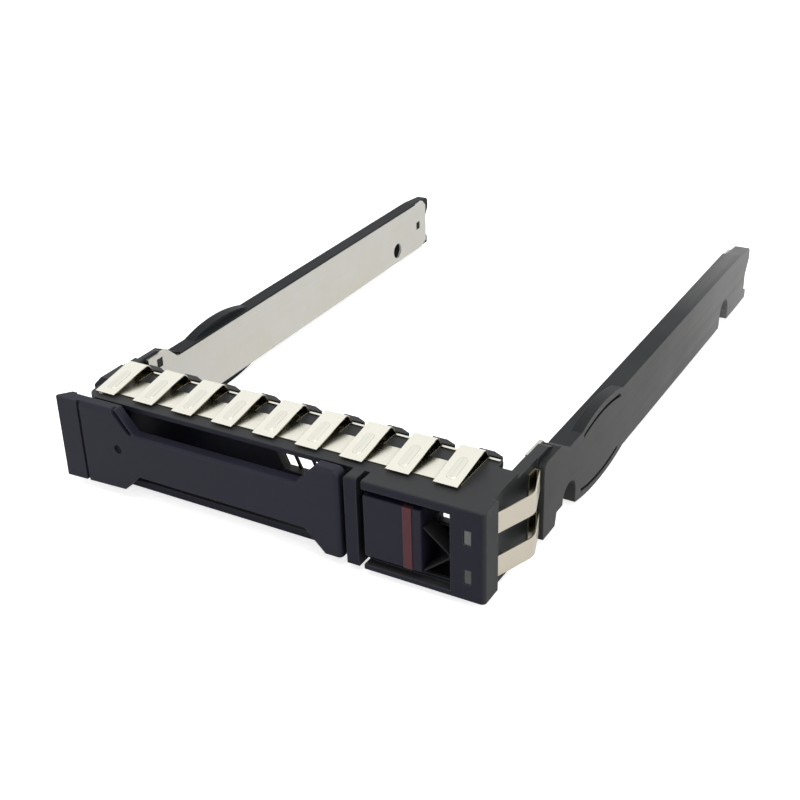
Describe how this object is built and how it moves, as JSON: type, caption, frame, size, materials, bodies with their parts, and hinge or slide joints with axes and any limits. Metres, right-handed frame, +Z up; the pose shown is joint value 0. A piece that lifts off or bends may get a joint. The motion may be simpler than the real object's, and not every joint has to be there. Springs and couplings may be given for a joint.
{
  "type": "hot swap drive caddy",
  "caption": "Open U-shaped carrier for a small hot swap drive: front bezel with eject lever and release button, sprung contact fingers and two steel-lined side rails.",
  "frame": {"origin": "centre of the footprint, at the lowest point of the leaf springs under the rails", "axes": "+X along the bezel towards the release button, +Y from the bezel back along the rails, +Z up"},
  "size_m": [0.0782, 0.12, 0.018],
  "materials": {
    "black_plastic": "fine matt texture",
    "lever_plastic": "satin, bluish black",
    "button_plastic": "satin, bluish black",
    "dark_red_plastic": "satin",
    "liner_steel": "satin",
    "contact_steel": "bright",
    "spring_steel": "dark",
    "screen_steel": "matt black",
    "smoked_light_pipe": "translucent, grey"
  },
  "bodies": {
    "chassis": {"bezel_frame": "black_plastic", "vent_screen": "screen_steel", "top_contact_strip": "contact_steel", "side_contact_clip": "contact_steel", "right_rail": "black_plastic", "left_rail": "black_plastic", "right_liner": "liner_steel", "left_liner": "liner_steel", "upper_light_pipe": "smoked_light_pipe", "lower_light_pipe": "smoked_light_pipe", "lever_pin": "spring_steel", "lever_spring": "spring_steel", "button_spring": "spring_steel"},
    "lever": {"eject_lever": "lever_plastic"},
    "button": {"release_button": "button_plastic", "button_accent": "dark_red_plastic"}
  },
  "joints": [
    {"name": "lever_hinge", "type": "hinge", "parent": "chassis", "child": "lever", "pos_m": [-0.03336, -0.055, 0.00865], "axis": [0, 0, -1], "range_deg": [0, 45], "deforming": ["lever_spring"]},
    {"name": "button_slide", "type": "slide", "parent": "chassis", "child": "button", "axis": [1, 0, 0], "range_m": [0, 0.0036], "stiffness_N_per_m": 180, "deforming": ["button_spring"]}
  ]
}
